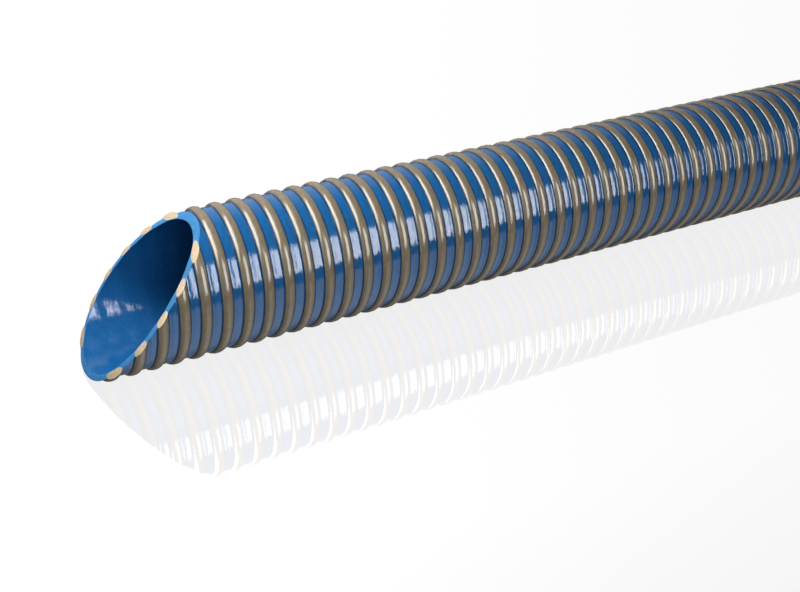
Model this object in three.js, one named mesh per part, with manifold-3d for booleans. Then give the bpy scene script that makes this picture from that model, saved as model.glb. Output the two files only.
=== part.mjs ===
// Spiral suction hose: a soft blue PVC wall with a rigid tan PVC helix wound round it.
// Millimetres, +Z up. The hose lies along X on z = 0, its slanted end towards -X and its
// square end towards +X. The origin is the middle of its length, at the bottom.
import * as THREE from 'three';
import { mergeVertices } from 'three/addons/utils/BufferGeometryUtils.js';
import Module from 'manifold-3d';

// Hose, sold by the metre
const hoseLength = 1000;
const boreDiameter = 50;
const wallThickness = 2.1;

// Helix, which winds left-handed along +X
const helixPitch = 8.25;
const ridgeHeight = 1.0;
const ridgeFootWidth = 4.2;
const ridgeTopWidth = 2.6;
const seatClearance = 0.3;
const firstRidge = 6.0;

// Slanted cut: its long tongue lies at the bottom, and the face bows inwards. firstRidge above is
// how far past the tongue's tip the first ridge crosses the hose's bottom.
const cutAngle = 41.6;
const cutBowAlong = 5.1;
const cutBowAcross = 2.5;

// Facets: every flat lies at the true radius, so the box is the true outer diameter
const facetsPerTurn = 12;
const boreFacets = 24;
const cutterCells = 14;
const cutterMargin = 6;

const boreRadius = boreDiameter / 2;
const wallRadius = boreRadius + wallThickness;
const seatRadius = wallRadius + seatClearance;
const crestRadius = seatRadius + ridgeHeight;
const facetAngle = 2 * Math.PI / facetsPerTurn;

// The hose is cut from longer stock. Until the end, x = 0 is the middle of the slanted cut.
const stockSpare = 2 * crestRadius;
const stockLength = hoseLength + 2 * stockSpare;

const wallMaterial = new THREE.MeshStandardMaterial({ color: 0x1b78c4, roughness: 0.3, metalness: 0 });
const helixMaterial = new THREE.MeshStandardMaterial({ color: 0x9a8a70, roughness: 0.3, metalness: 0 });

const wasm = await Module();
wasm.setup();

// A circle's polygon whose flats, not corners, lie at the radius, with a flat at the bottom
function polygonPoints(radius, sides) {
  const points = [];
  const step = 2 * Math.PI / sides;
  for (let i = 0; i < sides; i++) {
    const angle = (i + 0.5) * step;
    const cornerRadius = radius / Math.cos(step / 2);
    points.push(new THREE.Vector2(cornerRadius * Math.cos(angle), cornerRadius * Math.sin(angle)));
  }
  return points;
}

// The centre line of the helix, with frames that keep its section pointing away from the axis
class HelixLine extends THREE.Curve {
  constructor(radius, pitch, startX, turns) {
    super();
    this.radius = radius;
    this.pitch = pitch;
    this.startX = startX;
    this.turns = turns;
  }

  angleAt(t) {
    return facetAngle / 2 - 2 * Math.PI * this.turns * t;
  }

  outwardAt(t) {
    const angle = this.angleAt(t);
    return new THREE.Vector3(0, Math.cos(angle), Math.sin(angle));
  }

  getPoint(t, target = new THREE.Vector3()) {
    target.copy(this.outwardAt(t)).multiplyScalar(this.radius);
    target.x = this.startX + this.pitch * this.turns * t;
    return target;
  }

  computeFrenetFrames(segments) {
    const frames = { tangents: [], normals: [], binormals: [] };
    for (let i = 0; i <= segments; i++) {
      const outward = this.outwardAt(i / segments);
      const alongHose = new THREE.Vector3(1, 0, 0);
      frames.normals.push(outward);
      frames.binormals.push(alongHose);
      frames.tangents.push(new THREE.Vector3().crossVectors(outward, alongHose));
    }
    return frames;
  }
}

// Where the slanted cut lies at a place in the hose's section, from the cut's middle
function cutOffset(y, z) {
  const slope = Math.tan(THREE.MathUtils.degToRad(cutAngle));
  const bowAlong = cutBowAlong * (z / crestRadius) ** 2;
  const bowAcross = cutBowAcross * (y / crestRadius) ** 2;
  return slope * z + bowAlong + bowAcross;
}

// A straight tube of stock, longer than the hose, along X
function wallStock() {
  const section = new THREE.Shape(polygonPoints(wallRadius, facetsPerTurn));
  section.holes.push(new THREE.Path(polygonPoints(boreRadius, boreFacets)));
  const geometry = new THREE.ExtrudeGeometry(section, { depth: stockLength, bevelEnabled: false });
  geometry.rotateX(Math.PI / 2);
  geometry.rotateZ(Math.PI / 2);
  geometry.translate(-stockSpare, 0, 0);
  return geometry;
}

// The strip of the helix, as long as the stock, seated on the wall with its clearance
function helixStock() {
  const cornerScale = 1 / Math.cos(facetAngle / 2);
  const foot = seatRadius * cornerScale;
  const top = crestRadius * cornerScale;
  const middle = (foot + top) / 2;
  const section = new THREE.Shape([
    new THREE.Vector2(foot - middle, -ridgeFootWidth / 2),
    new THREE.Vector2(top - middle, -ridgeTopWidth / 2),
    new THREE.Vector2(top - middle, ridgeTopWidth / 2),
    new THREE.Vector2(foot - middle, ridgeFootWidth / 2),
  ]);
  const turns = Math.ceil(stockLength / helixPitch);
  const turnsBefore = Math.ceil(stockSpare / helixPitch);
  const turnsToBottom = (Math.PI / 2 + facetAngle / 2) / (2 * Math.PI);
  const bottomRidge = cutOffset(0, -crestRadius) + firstRidge;
  const startX = bottomRidge - (turnsToBottom + turnsBefore) * helixPitch;
  const line = new HelixLine(middle, helixPitch, startX, turns);
  return new THREE.ExtrudeGeometry(section, { extrudePath: line, steps: turns * facetsPerTurn });
}

// A block that takes off the slanted end, its +X face shaped as the cut
function slantCutter() {
  const width = 2 * (crestRadius + cutterMargin);
  const geometry = new THREE.BoxGeometry(stockLength, width, width, 1, cutterCells, cutterCells);
  const position = geometry.getAttribute('position');
  for (let i = 0; i < position.count; i++) {
    const onCut = position.getX(i) > 0;
    position.setX(i, onCut ? cutOffset(position.getY(i), position.getZ(i)) : -stockLength);
  }
  return geometry;
}

// A block that takes off all that lies past the square end
function squareCutter(endX) {
  const width = 2 * (crestRadius + cutterMargin);
  const geometry = new THREE.BoxGeometry(stockLength, width, width);
  geometry.translate(endX + stockLength / 2, 0, 0);
  return geometry;
}

function toSolid(geometry) {
  const bare = geometry.clone();
  bare.deleteAttribute('normal');
  bare.deleteAttribute('uv');
  const merged = mergeVertices(bare, 1e-4);
  const vertProperties = new Float32Array(merged.getAttribute('position').array);
  const triVerts = new Uint32Array(merged.getIndex().array);
  return new wasm.Manifold(new wasm.Mesh({ numProp: 3, vertProperties, triVerts }));
}

function toMesh(solid, name, material) {
  const data = solid.getMesh();
  const geometry = new THREE.BufferGeometry();
  geometry.setAttribute('position', new THREE.BufferAttribute(data.vertProperties, 3));
  geometry.setIndex(new THREE.BufferAttribute(data.triVerts, 1));
  geometry.computeVertexNormals();
  const mesh = new THREE.Mesh(geometry, material);
  mesh.name = name;
  return mesh;
}

// The slanted cut comes first, and the square one is measured off from the tongue's tip
const slant = toSolid(slantCutter());
const slantedWall = toSolid(wallStock()).subtract(slant);
const slantedHelix = toSolid(helixStock()).subtract(slant);
const tipX = Math.min(slantedWall.boundingBox().min[0], slantedHelix.boundingBox().min[0]);
const squareEnd = toSolid(squareCutter(tipX + hoseLength));

// The slant cuts the first turns of the helix into open arcs, counted from the tongue's tip
const helixPieces = slantedHelix.subtract(squareEnd).decompose();
helixPieces.sort((a, b) => b.volume() - a.volume());
const [helixSolid, ...arcSolids] = helixPieces;
arcSolids.sort((a, b) => a.boundingBox().max[0] - b.boundingBox().max[0]);

const hose = new THREE.Group();
hose.add(toMesh(slantedWall.subtract(squareEnd), 'hose_wall', wallMaterial));
hose.add(toMesh(helixSolid, 'helix', helixMaterial));
arcSolids.forEach((solid, index) => {
  hose.add(toMesh(solid, `helix_arc_${index + 1}`, helixMaterial));
});
hose.position.set(-tipX - hoseLength / 2, 0, crestRadius);

export default hose;
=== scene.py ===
import math

import bmesh
import bpy
import numpy as np
from mathutils import Matrix, Vector


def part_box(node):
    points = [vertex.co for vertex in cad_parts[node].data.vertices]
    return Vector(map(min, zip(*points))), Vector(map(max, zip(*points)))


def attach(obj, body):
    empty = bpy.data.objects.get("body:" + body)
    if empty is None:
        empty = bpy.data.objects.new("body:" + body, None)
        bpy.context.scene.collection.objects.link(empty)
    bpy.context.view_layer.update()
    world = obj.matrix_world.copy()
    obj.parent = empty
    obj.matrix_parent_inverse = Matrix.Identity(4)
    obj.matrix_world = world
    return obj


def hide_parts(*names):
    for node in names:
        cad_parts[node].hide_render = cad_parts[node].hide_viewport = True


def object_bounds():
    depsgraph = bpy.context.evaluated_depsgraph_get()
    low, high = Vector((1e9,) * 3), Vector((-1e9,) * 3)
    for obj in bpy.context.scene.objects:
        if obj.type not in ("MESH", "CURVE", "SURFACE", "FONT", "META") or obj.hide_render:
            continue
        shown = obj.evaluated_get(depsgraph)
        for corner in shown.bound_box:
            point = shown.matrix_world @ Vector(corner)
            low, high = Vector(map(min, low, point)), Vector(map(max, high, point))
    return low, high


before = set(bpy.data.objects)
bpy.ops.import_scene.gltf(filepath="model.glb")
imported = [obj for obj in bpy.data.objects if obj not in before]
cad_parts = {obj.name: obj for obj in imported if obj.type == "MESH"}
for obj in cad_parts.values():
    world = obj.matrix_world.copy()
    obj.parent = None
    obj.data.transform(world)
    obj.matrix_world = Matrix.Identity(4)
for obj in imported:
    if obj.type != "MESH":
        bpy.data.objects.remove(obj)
CAD_LOW, CAD_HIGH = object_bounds()

# The hose's sizes, in metres: the outer ones come from the parts in model.glb, the inner ones are the part's
# own
CREST_RADIUS = (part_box("helix")[1].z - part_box("helix")[0].z) / 2
WALL_RADIUS = (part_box("hose_wall")[1].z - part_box("hose_wall")[0].z) / 2
AXIS_HEIGHT = CREST_RADIUS
BORE_RADIUS = 0.025
PITCH = 0.00825
FIRST_RIDGE = 0.0060

# The slanted cut, whose tongue lies at the bottom and whose face bows inwards
CUT_SLOPE = math.tan(math.radians(41.6))
CUT_BOW_ALONG = 0.0051
CUT_BOW_ACROSS = 0.0025
TAN_PROUD = 0.00012

# The tan strip's oval section, and how the blue wall meets it
STRIP_HALF_WIDTH = 0.0021
STRIP_DEPTH = 0.0032
STRIP_MIDDLE = CREST_RADIUS - STRIP_DEPTH / 2
BAND_CROWN = 0.00014
# Painted shade: over this span from a ridge's middle, the blue's colour darkens towards the ridge's foot,
# standing in for the shade in the crease
PAINTED_FOOT_SHADE_FROM = 0.0021
PAINTED_FOOT_SHADE_TO = 0.0027

# The bore ripples over the strip near the slanted end, and painted shade darkens its colour inwards, where
# little light reaches
BORE_RIPPLE = 0.00010
RIPPLE_END = CAD_LOW.x + 0.10
PAINTED_BORE_SHADE_FROM = CAD_LOW.x + 0.022
PAINTED_BORE_SHADE_TO = CAD_LOW.x + 0.078
PAINTED_BORE_SHADE = 0.35

# The soft edge of the cut faces: how far in it reaches, and how far the middle stands out
EDGE_REACH = 0.00016
EDGE_RISE = 0.00005

# Detail. Turns of the winding, from and to, and sections to a turn: fewer away from the slanted end
NEAR_TURNS = (-1.5, 6.5, 96)
SEEN_TURNS = (6.5, 42.5, 48)
FAR_TURNS = (42.5, 122.5, 24)
ARC_STEP = 1 / 192
ARC_SIDES = 24
HELIX_SIDES = 14
RIPPLE_STEP = 0.0008
PLAIN_STEP = 0.020
BORE_SIDES = 96

# Colours, as the light of the studio brings them out
BLUE = (0.012, 0.127, 0.36)
TAN = (0.245, 0.20, 0.132)
BLUE_CUT = (0.045, 0.25, 0.56)
TAN_CUT = (0.50, 0.385, 0.245)

# Studio: the row of tubes in front, what the lights aim at, and the floor's corners
TUBES = 6
TUBE_START = -0.24
TUBE_STEP = 0.10
TUBE_WIDTH = 0.05
FRONT_REACH = 0.87
MOUTH = Vector((-0.45, 0, 0.04))
FAR_PART = Vector((0.33, 0, AXIS_HEIGHT))
FLOOR_LOW = (-4, -4)
FLOOR_HIGH = (4, 6)


def cut_offset(y, z):
    """Where the slanted cut lies, from its middle, at a place in the section."""
    bow = CUT_BOW_ALONG * (z / CREST_RADIUS) ** 2 + CUT_BOW_ACROSS * (y / CREST_RADIUS) ** 2
    return CUT_SLOPE * z + bow


ROUND = np.linspace(0, 2 * math.pi, 720, endpoint=False)
TIP_OFFSET = cut_offset(CREST_RADIUS * np.cos(ROUND), CREST_RADIUS * np.sin(ROUND)).min()
CUT_MIDDLE = CAD_LOW.x - TIP_OFFSET
RIDGE_START = CUT_MIDDLE + cut_offset(0.0, -CREST_RADIUS) + FIRST_RIDGE
END_X = CAD_HIGH.x
TURN_LENGTH = 2 * math.pi * WALL_RADIUS


def angle_at(turn):
    """The strip winds left-handed: turn 0 is at the bottom, and it then climbs the front."""
    return -math.pi / 2 - 2 * math.pi * turn


def turns_list():
    """Where along the winding the wall and the long strip have a section."""
    parts = []
    for low, high, count in (NEAR_TURNS, SEEN_TURNS, FAR_TURNS):
        parts.append(low + np.arange(round((high - low) * count)) / count)
    return np.concatenate(parts + [[FAR_TURNS[1]]])


def to_points(x, radius, angle):
    return np.stack([x, radius * np.cos(angle), AXIS_HEIGHT + radius * np.sin(angle)], axis=-1)


# The blue wall
def wall_profile():
    """Over one pitch, distances from a ridge's middle and radii: the groove, a small lip, the crowned band."""
    w = STRIP_HALF_WIDTH
    half = [
        (0.0, STRIP_MIDDLE - 0.00148),
        (0.70 * w, STRIP_MIDDLE - 0.00115),
        (0.93 * w, STRIP_MIDDLE - 0.00040),
        (0.91 * w, WALL_RADIUS + 0.00046),
        (0.97 * w, WALL_RADIUS + 0.00030),
        (1.04 * w, WALL_RADIUS + 0.00014),
        (1.14 * w, WALL_RADIUS + 0.00004),
        (1.30 * w, WALL_RADIUS - 0.00001),
    ]
    start = half[-1]
    middle = PITCH / 2
    share = 0.45
    between = start[0] + share * (middle - start[0])
    lift = BAND_CROWN * (1 - (1 - share) ** 2)
    half.append((between, start[1] + lift))
    whole = half + [(middle, start[1] + BAND_CROWN)]
    whole += [(PITCH - x, r) for x, r in reversed(half)]
    return np.array([x for x, _ in whole]), np.array([r for _, r in whole])


WALL_X, WALL_R = wall_profile()


def ribbon_faces(rows, columns, closed=False):
    """Quads of a grid of rows by columns, closed round the columns or open."""
    a = np.arange(rows - 1)[:, None] * columns
    b = np.arange(columns if closed else columns - 1)[None, :]
    c = (b + 1) % columns
    return np.stack([a + b, a + c, a + columns + c, a + columns + b], axis=-1).reshape(-1, 4)


def wall_outside():
    """The outside as one ribbon that winds round with the strip, each turn a pitch wide."""
    turns = turns_list()
    shape = (len(turns), len(WALL_X))
    x = RIDGE_START + turns[:, None] * PITCH + WALL_X[None, :]
    radius = np.broadcast_to(WALL_R[None, :], shape)
    angle = np.broadcast_to(angle_at(turns)[:, None], shape)
    winding = np.stack(np.broadcast_arrays(WALL_X[None, :], turns[:, None] * TURN_LENGTH, 0.0), axis=-1)
    return to_points(x, radius, angle), ribbon_faces(*shape), winding


def wall_bore():
    """The bore as rings, with the strip felt as a faint ripple near the slanted end, and the painted shade
    that darkens its colour inwards.
    """
    near = np.arange(CAD_LOW.x - RIPPLE_STEP, RIPPLE_END, RIPPLE_STEP)
    plain = np.arange(RIPPLE_END, CAD_HIGH.x + 2 * PLAIN_STEP, PLAIN_STEP)
    x = np.concatenate([near, plain])[:, None]
    angle = -2 * math.pi * np.arange(BORE_SIDES)[None, :] / BORE_SIDES
    turn = (-math.pi / 2 - angle) / (2 * math.pi)
    past_ridge = (x - RIDGE_START) / PITCH - turn
    fade = np.clip((RIPPLE_END - x) / (4 * PITCH), 0, 1)
    radius = BORE_RADIUS + BORE_RIPPLE * fade * np.cos(2 * math.pi * past_ridge)
    x, radius, angle, turn = np.broadcast_arrays(x, radius, angle, turn)
    # Painted shade: the bore's colour darkens from the mouth inwards, standing in for the shade deep inside;
    # it rides in the winding attribute's third part
    shade = np.interp(x, [PAINTED_BORE_SHADE_FROM, PAINTED_BORE_SHADE_TO], [1.0, PAINTED_BORE_SHADE])
    winding = np.stack([past_ridge * PITCH, turn * TURN_LENGTH, shade], axis=-1)
    return to_points(x, radius, angle), ribbon_faces(*x.shape, closed=True), winding


def cut_and_cap(bm, plane_x, side):
    """Takes off all that lies past the plane and closes the hole with a face of the cut's material."""
    everything = bm.verts[:] + bm.edges[:] + bm.faces[:]
    found = bmesh.ops.bisect_plane(
        bm, geom=everything, dist=1e-8, plane_co=(plane_x, 0, 0), plane_no=(side, 0, 0), clear_outer=True)
    rim = [item for item in found["geom_cut"] if isinstance(item, bmesh.types.BMEdge)]
    filled = bmesh.ops.triangle_fill(bm, edges=rim, use_beauty=True, normal=(side, 0, 0))
    caps = [item for item in filled["geom"] if isinstance(item, bmesh.types.BMFace)]
    for face in caps:
        face.material_index = 1
        face.normal_update()
        if face.normal.x * side < 0:
            face.normal_flip()
    soft = bmesh.ops.inset_region(
        bm, faces=caps, use_boundary=True, use_even_offset=True, thickness=EDGE_REACH, depth=EDGE_RISE)
    for face in soft["faces"]:
        face.material_index = 1


def make_piece(name, parts, materials, proud, square_end):
    """A piece from grids of points, cut off at the slanted end and, where it reaches it, at the square end."""
    points = np.concatenate([part[0].reshape(-1, 3) for part in parts])
    winding = np.concatenate([part[2].reshape(-1, 3) for part in parts])
    counts = np.cumsum([0] + [part[0].size // 3 for part in parts])
    faces = np.concatenate([part[1] + count for part, count in zip(parts, counts)])
    points[:, 0] -= cut_offset(points[:, 1], points[:, 2] - AXIS_HEIGHT)

    mesh = bpy.data.meshes.new(name)
    mesh.from_pydata(points.tolist(), [], faces.tolist())
    layer = mesh.attributes.new("winding", "FLOAT_VECTOR", "POINT")
    layer.data.foreach_set("vector", winding.astype(np.float32).ravel())
    bm = bmesh.new()
    bm.from_mesh(mesh)
    bmesh.ops.remove_doubles(bm, verts=bm.verts, dist=2e-6)
    cut_and_cap(bm, CUT_MIDDLE - proud, -1)
    for vert in bm.verts:
        vert.co.x += cut_offset(vert.co.y, vert.co.z - AXIS_HEIGHT)
    if square_end:
        cut_and_cap(bm, END_X - TAN_PROUD + proud, 1)
    bmesh.ops.dissolve_degenerate(bm, edges=bm.edges, dist=2e-6)
    bmesh.ops.recalc_face_normals(bm, faces=bm.faces)
    for edge in bm.edges:
        slots = {face.material_index for face in edge.link_faces}
        edge.smooth = len(slots) < 2
    bm.to_mesh(mesh)
    bm.free()
    for material in materials:
        mesh.materials.append(material)
    mesh.polygons.foreach_set("use_smooth", [True] * len(mesh.polygons))
    piece = bpy.data.objects.new(name, mesh)
    bpy.context.scene.collection.objects.link(piece)
    return piece


def build_wall(materials):
    """The blue wall: its outside with the strip's groove, its bore, and the two cut faces."""
    return make_piece("wall_tube", [wall_outside(), wall_bore()], materials, 0.0, True)


# The tan strip
def strip_section(sides):
    """Its oval section, as distances along the hose from its middle and radii."""
    t = 2 * math.pi * np.arange(sides) / sides
    power = 2 / 2.3
    along = STRIP_HALF_WIDTH * np.sign(np.cos(t)) * np.abs(np.cos(t)) ** power
    out = STRIP_DEPTH / 2 * np.sign(np.sin(t)) * np.abs(np.sin(t)) ** power
    return along, STRIP_MIDDLE + out


def build_strip(name, turns, sides, materials, square_end):
    """One length of the strip, its ends cut off by the slanted and the square cut."""
    along, radii = strip_section(sides)
    shape = (len(turns), sides)
    x = RIDGE_START + turns[:, None] * PITCH + along[None, :]
    radius = np.broadcast_to(radii[None, :], shape)
    angle = np.broadcast_to(angle_at(turns)[:, None], shape)
    winding = np.stack(np.broadcast_arrays(along[None, :], turns[:, None] * TURN_LENGTH, 0.0), axis=-1)
    part = (to_points(x, radius, angle), ribbon_faces(*shape, closed=True), winding)
    return make_piece(name, [part], materials, TAN_PROUD, square_end)


def strip_stretches():
    """The stretches of the strip that the slanted cut leaves: open arcs first, then the long helix."""
    turns = np.arange(NEAR_TURNS[0], NEAR_TURNS[1] + ARC_STEP, ARC_STEP)
    along, radii = strip_section(ARC_SIDES)
    angle = angle_at(turns)[:, None]
    x = RIDGE_START + turns[:, None] * PITCH + along[None, :]
    cut = CUT_MIDDLE - TAN_PROUD + cut_offset(radii * np.cos(angle), radii * np.sin(angle))
    left = (x > cut).any(axis=1)
    changes = np.flatnonzero(left[:-1] != left[1:])
    begins, ends = changes[0::2], changes[1::2] + 1
    arcs = [turns[begin:end + 1] for begin, end in zip(begins, ends)]
    further = turns_list()
    helix = np.concatenate([turns[begins[-1]:-1], further[further > turns[-1]]])
    return arcs + [helix]


# Materials
def principled(name, **values):
    material = bpy.data.materials.new(name)
    material.use_nodes = True
    shader = material.node_tree.nodes["Principled BSDF"]
    for key, value in values.items():
        shader.inputs[key].default_value = value
    return material, material.node_tree, shader


def add_node(tree, kind, **settings):
    node = tree.nodes.new(kind)
    for key, value in settings.items():
        setattr(node, key, value)
    return node


def maths(tree, operation, first, second=0.0):
    node = add_node(tree, "ShaderNodeMath", operation=operation)
    for socket, value in zip(node.inputs, (first, second)):
        if isinstance(value, (int, float)):
            socket.default_value = value
        else:
            tree.links.new(value, socket)
    return node.outputs["Value"]


def ramp(tree, value, stops):
    """The value, put through straight pieces between (input, output) stops."""
    low, high = stops[0][0], stops[-1][0]
    top = max(out for _, out in stops)
    spread = add_node(tree, "ShaderNodeMapRange")
    spread.inputs["From Min"].default_value = low
    spread.inputs["From Max"].default_value = high
    tree.links.new(value, spread.inputs["Value"])

    node = add_node(tree, "ShaderNodeFloatCurve")
    node.mapping.extend = "HORIZONTAL"
    points = node.mapping.curves[0].points
    places = [((at - low) / (high - low), out / top) for at, out in stops]
    points[0].location = places[0]
    points[len(points) - 1].location = places[-1]
    for place in places[1:-1]:
        points.new(*place)
    for point in points:
        point.handle_type = "VECTOR"
    node.mapping.update()
    tree.links.new(spread.outputs["Result"], node.inputs["Value"])
    return maths(tree, "MULTIPLY", node.outputs["Value"], top)


def noise(tree, vector, scale, detail):
    node = add_node(tree, "ShaderNodeTexNoise")
    node.inputs["Scale"].default_value = scale
    node.inputs["Detail"].default_value = detail
    tree.links.new(vector, node.inputs["Vector"])
    return node.outputs["Fac"]


def bump(tree, height, strength, distance, normal=None):
    node = add_node(tree, "ShaderNodeBump")
    node.inputs["Strength"].default_value = strength
    node.inputs["Distance"].default_value = distance
    tree.links.new(height, node.inputs["Height"])
    if normal is not None:
        tree.links.new(normal, node.inputs["Normal"])
    return node.outputs["Normal"]


def tint(tree, value, colour, darkest, lightest):
    """The colour, darker where the value is low and lighter where it is high."""
    node = add_node(tree, "ShaderNodeValToRGB")
    stops = node.color_ramp.elements
    for stop, position, share in ((stops[0], 0.3, darkest), (stops[1], 0.7, lightest)):
        stop.position = position
        stop.color = (*[share * part for part in colour], 1)
    tree.links.new(value, node.inputs["Fac"])
    return node.outputs["Color"]


def pvc_material(name, colour, roughness, line_strength, painted_foot_shade):
    """Glossy extruded PVC: fine lines along the winding, a faint orange peel, and painted shade that darkens
    the colour at a ridge's foot.
    """
    material, tree, shader = principled(name, Roughness=roughness, IOR=1.54)
    links = tree.links
    winding = add_node(tree, "ShaderNodeAttribute", attribute_name="winding").outputs["Vector"]
    stretched = add_node(tree, "ShaderNodeVectorMath", operation="MULTIPLY")
    stretched.inputs[1].default_value = (1000.0, 330.0, 1.0)
    links.new(winding, stretched.inputs[0])
    lines = noise(tree, stretched.outputs["Vector"], 1.0, 3.0)
    place = add_node(tree, "ShaderNodeTexCoord").outputs["Object"]
    peel = noise(tree, place, 420.0, 2.0)
    lined = bump(tree, lines, line_strength, 0.00015)
    links.new(bump(tree, peel, 0.25, 0.00003, lined), shader.inputs["Normal"])

    split = add_node(tree, "ShaderNodeSeparateXYZ")
    links.new(winding, split.inputs["Vector"])
    across, _, painted_bore_shade = split.outputs
    other_foot = maths(tree, "SUBTRACT", PITCH, across)
    from_ridge = maths(tree, "MINIMUM", across, other_foot)
    # Painted shade: the base colour darkens towards each ridge's foot, where the crease lies in shade
    shade = ramp(tree, from_ridge, [(PAINTED_FOOT_SHADE_FROM, painted_foot_shade), (PAINTED_FOOT_SHADE_TO, 1.0)])
    # Painted shade inside the bore: the winding attribute's third part darkens the colour from the mouth
    # inwards; outside the bore it is 0
    shade = maths(tree, "MAXIMUM", shade, painted_bore_shade)
    shaded = add_node(tree, "ShaderNodeVectorMath", operation="SCALE")
    links.new(tint(tree, lines, colour, 0.86, 1.1), shaded.inputs[0])
    links.new(shade, shaded.inputs["Scale"])
    links.new(shaded.outputs["Vector"], shader.inputs["Base Color"])
    return material


def cut_material(name, colour, roughness):
    """Sawn PVC: matte, with fine knife marks."""
    material, tree, shader = principled(name, Roughness=roughness, IOR=1.5)
    place = add_node(tree, "ShaderNodeTexCoord").outputs["Object"]
    marks = noise(tree, place, 900.0, 4.0)
    tree.links.new(bump(tree, marks, 0.4, 0.00005), shader.inputs["Normal"])
    tree.links.new(tint(tree, marks, colour, 0.85, 1.15), shader.inputs["Base Color"])
    return material


def floor_material():
    """A pale floor that glows evenly, with a faint mirror image of the hose."""
    material = bpy.data.materials.new("pale_floor")
    material.use_nodes = True
    tree = material.node_tree
    tree.nodes.clear()
    glow = add_node(tree, "ShaderNodeEmission")
    glow.inputs["Strength"].default_value = 0.83
    gloss = add_node(tree, "ShaderNodeBsdfGlossy")
    gloss.inputs["Color"].default_value = (0.36, 0.36, 0.36, 1)
    gloss.inputs["Roughness"].default_value = 0.03
    both = add_node(tree, "ShaderNodeAddShader")
    out = add_node(tree, "ShaderNodeOutputMaterial")
    tree.links.new(glow.outputs["Emission"], both.inputs[0])
    tree.links.new(gloss.outputs["BSDF"], both.inputs[1])
    tree.links.new(both.outputs["Shader"], out.inputs["Surface"])
    return material


# Studio
def camera():
    """The photograph's viewpoint, fitted to its ridges, its outline and the slanted cut."""
    data = bpy.data.cameras.new("camera")
    data.sensor_width = 36.0
    data.lens = 53.265
    cam = bpy.data.objects.new("camera", data)
    right = Vector((0.87377, -0.48634, 0.0)).normalized()
    forward = Vector((0.42772, 0.76845, -0.47597)).normalized()
    up = right.cross(forward).normalized()
    right = forward.cross(up)
    turn = Matrix((right, up, -forward)).transposed()
    cam.matrix_world = Matrix.Translation((-0.57951, -0.38749, 0.23881)) @ turn.to_4x4()
    bpy.context.scene.collection.objects.link(cam)
    bpy.context.scene.camera = cam
    data.clip_start = 0.01


def softbox(name, place, target, size, strength, lit, edge_along=None, glossy=True, diffuse=True):
    """A rectangular soft light that faces its target and lights only some pieces. Strength is its radiance."""
    data = bpy.data.lights.new(name, "AREA")
    data.shape = "RECTANGLE"
    data.size, data.size_y = size
    data.energy = strength * math.pi * size[0] * size[1]
    light = bpy.data.objects.new(name, data)
    back = (Vector(place) - Vector(target)).normalized()
    side = Vector(edge_along) if edge_along else Vector((0, 0, 1)).cross(back)
    side = (side - back * side.dot(back)).normalized()
    up = back.cross(side)
    light.matrix_world = Matrix.Translation(place) @ Matrix((side, up, back)).transposed().to_4x4()
    light.visible_glossy = glossy
    light.visible_diffuse = diffuse
    light.light_linking.receiver_collection = lit
    bpy.context.scene.collection.objects.link(light)


def front_box(name, middle_x, width, top, strength, lit, low=6):
    """A light in front of the hose and along it, seen only in its gloss, between two elevations in degrees."""
    height = math.radians((low + top) / 2)
    middle = Vector((middle_x, -FRONT_REACH * math.cos(height), AXIS_HEIGHT + FRONT_REACH * math.sin(height)))
    size = (width, 2 * FRONT_REACH * math.tan(math.radians(top - low) / 2))
    aim = Vector((middle_x, 0, AXIS_HEIGHT))
    softbox(name, middle, aim, size, strength, lit, edge_along=(1, 0, 0), diffuse=False)


def receivers(name, pieces):
    """The pieces that a light falls on."""
    group = bpy.data.collections.new(name)
    for piece in pieces:
        group.objects.link(piece)
    return group


def build_floor():
    mesh = bpy.data.meshes.new("floor")
    (low_x, low_y), (high_x, high_y) = FLOOR_LOW, FLOOR_HIGH
    corners = [(low_x, low_y, 0), (high_x, low_y, 0), (high_x, high_y, 0), (low_x, high_y, 0)]
    mesh.from_pydata(corners, [], [(0, 1, 2, 3)])
    mesh.materials.append(floor_material())
    floor = bpy.data.objects.new("floor", mesh)
    floor.visible_glossy = False
    floor.visible_diffuse = False
    bpy.context.scene.collection.objects.link(floor)


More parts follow.
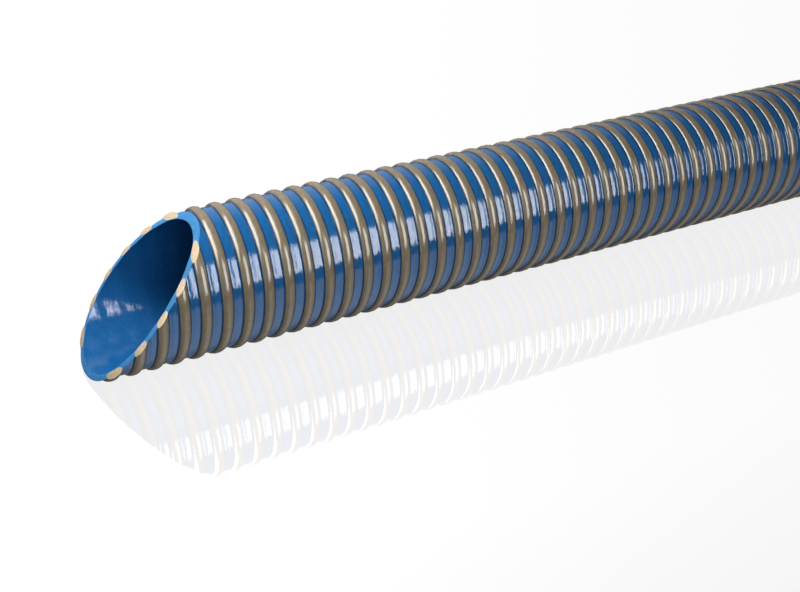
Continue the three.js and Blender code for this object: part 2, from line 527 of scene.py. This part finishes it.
def studio_world():
    """White for the camera. What the hose mirrors: a pale wall behind it and a pale sweep in front, below."""
    world = bpy.data.worlds.new("studio")
    world.use_nodes = True
    bpy.context.scene.world = world
    tree = world.node_tree
    links = tree.links
    place = add_node(tree, "ShaderNodeTexCoord")
    parts = add_node(tree, "ShaderNodeSeparateXYZ")
    links.new(place.outputs["Generated"], parts.inputs["Vector"])
    along, depth, height = parts.outputs
    front = maths(tree, "MULTIPLY", depth, -1.0)
    turn = maths(tree, "ARCTAN2", height, front)
    turn = maths(tree, "MULTIPLY", turn, 180 / math.pi)
    wall = ramp(tree, turn, [(115, 0.0), (136, 0.45), (180, 0.5)])
    fall = ramp(tree, along, [(-1.0, 0.1), (-0.5, 0.2), (-0.15, 1.0), (0.3, 1.0), (0.7, 0.6), (1.0, 0.6)])
    wall = maths(tree, "MULTIPLY", wall, fall)
    sweep = ramp(tree, turn, [(-180, 0.1), (-115, 0.12), (-90, 0.7), (-62, 1.15), (-16, 1.15), (-11, 0.0)])
    side = ramp(tree, along, [(-0.15, 0.12), (0.2, 1.0), (0.45, 1.0), (0.6, 0.45), (1.0, 0.4)])
    sweep = maths(tree, "MULTIPLY", sweep, side)
    total = maths(tree, "ADD", wall, sweep)
    total = maths(tree, "ADD", total, 0.08)
    shade = tree.nodes["Background"]
    shade.inputs["Color"].default_value = (1.0, 1.0, 1.0, 1)
    links.new(total, shade.inputs["Strength"])
    path = add_node(tree, "ShaderNodeLightPath")
    white = add_node(tree, "ShaderNodeBackground")
    white.inputs["Strength"].default_value = 1.0
    white.inputs["Color"].default_value = (1, 1, 1, 1)
    mix = add_node(tree, "ShaderNodeMixShader")
    links.new(path.outputs["Is Camera Ray"], mix.inputs["Fac"])
    links.new(shade.outputs["Background"], mix.inputs[1])
    links.new(white.outputs["Background"], mix.inputs[2])
    links.new(mix.outputs["Shader"], tree.nodes["World Output"].inputs["Surface"])


def front_lights(hose):
    """The window in the gloss: a broad box, a dimmer one beside it, and a row of tubes that streak it."""
    front_box("front_box", 0.01, 0.58, 48, 4.5, hose)
    front_box("front_box_side", 0.40, 0.20, 48, 1.6, hose)
    for index in range(TUBES):
        middle_x = TUBE_START + index * TUBE_STEP
        top = 50 + 3 * math.cos(2.4 * index)
        strength = 12.0 if index % 2 == 0 else 8.0
        front_box(f"front_tube_{index + 1}", middle_x, TUBE_WIDTH, top, strength, hose, low=5)


def mouth_lights(hose, ridges):
    """Over the slanted end: gloss on the ridges' left sides and in the bore, and light on the cut face."""
    softbox("left_gloss", (-0.64, 0.03, 0.33), MOUTH, (0.40, 0.46), 11.0, ridges, (1, 0, 0.6), diffuse=False)
    softbox("mouth_gloss", (-0.66, 0.02, 0.31), MOUTH, (0.08, 0.24), 5.0, hose, (1, 0, 0.3), diffuse=False)
    softbox("left_box", (-0.66, 0.02, 0.31), MOUTH, (0.15, 0.36), 3.0, hose, (1, 0, 0.3), glossy=False)
    softbox("front_fill", (-0.60, -0.68, 0.22), MOUTH, (0.40, 0.40), 3.4, hose, glossy=False)
    softbox("top_fill", (-0.48, 0.04, 0.30), (-0.46, 0, 0.05), (0.12, 0.12), 15.0, hose, glossy=False)


def other_lights(hose):
    """The sides that the photograph doesn't show: the back, the far part and the square end."""
    middle = (0.05, 0, AXIS_HEIGHT)
    softbox("back_fill", (0.05, 0.90, 0.22), middle, (1.4, 0.35), 2.6, hose, (1, 0, 0), glossy=False)
    softbox("far_top_fill", (0.33, 0, 0.42), FAR_PART, (0.40, 0.25), 1.0, hose, (1, 0, 0), glossy=False)
    softbox("far_front_fill", (0.33, -0.60, 0.25), FAR_PART, (0.40, 0.30), 0.8, hose, (1, 0, 0), glossy=False)
    softbox("end_fill", (1.05, 0, 0.30), (0.5, 0, AXIS_HEIGHT), (0.40, 0.40), 3.0, hose)


def studio(wall, strips):
    ridges = receivers("ridges", strips)
    hose = receivers("hose", [wall] + strips)
    build_floor()
    front_lights(hose)
    mouth_lights(hose, ridges)
    other_lights(hose)
    studio_world()
    bpy.context.scene.view_settings.view_transform = "Standard"


camera()
# The blue skin's colour gets painted shade at the ridges' feet, down to 0.3 of itself; the tan skin's gets
# none
blue_skin = pvc_material("blue_pvc_skin", BLUE, 0.10, 0.6, 0.3)
tan_skin = pvc_material("tan_pvc_skin", TAN, 0.18, 0.2, 1.0)
blue_cut = cut_material("blue_pvc_cut", BLUE_CUT, 0.5)
tan_cut = cut_material("tan_pvc_cut", TAN_CUT, 0.5)

wall = build_wall([blue_skin, blue_cut])
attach(wall, "root")
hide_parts("hose_wall")

strips = []
*arcs, helix = strip_stretches()
for number, turns in enumerate(arcs, start=1):
    arc = build_strip(f"helix_arc_strip_{number}", turns, ARC_SIDES, [tan_skin, tan_cut], False)
    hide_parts(f"helix_arc_{number}")
    strips.append(arc)
long_strip = build_strip("helix_strip", helix, HELIX_SIDES, [tan_skin, tan_cut], True)
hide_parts("helix")
strips.append(long_strip)
for strip in strips:
    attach(strip, "root")

studio(wall, strips)
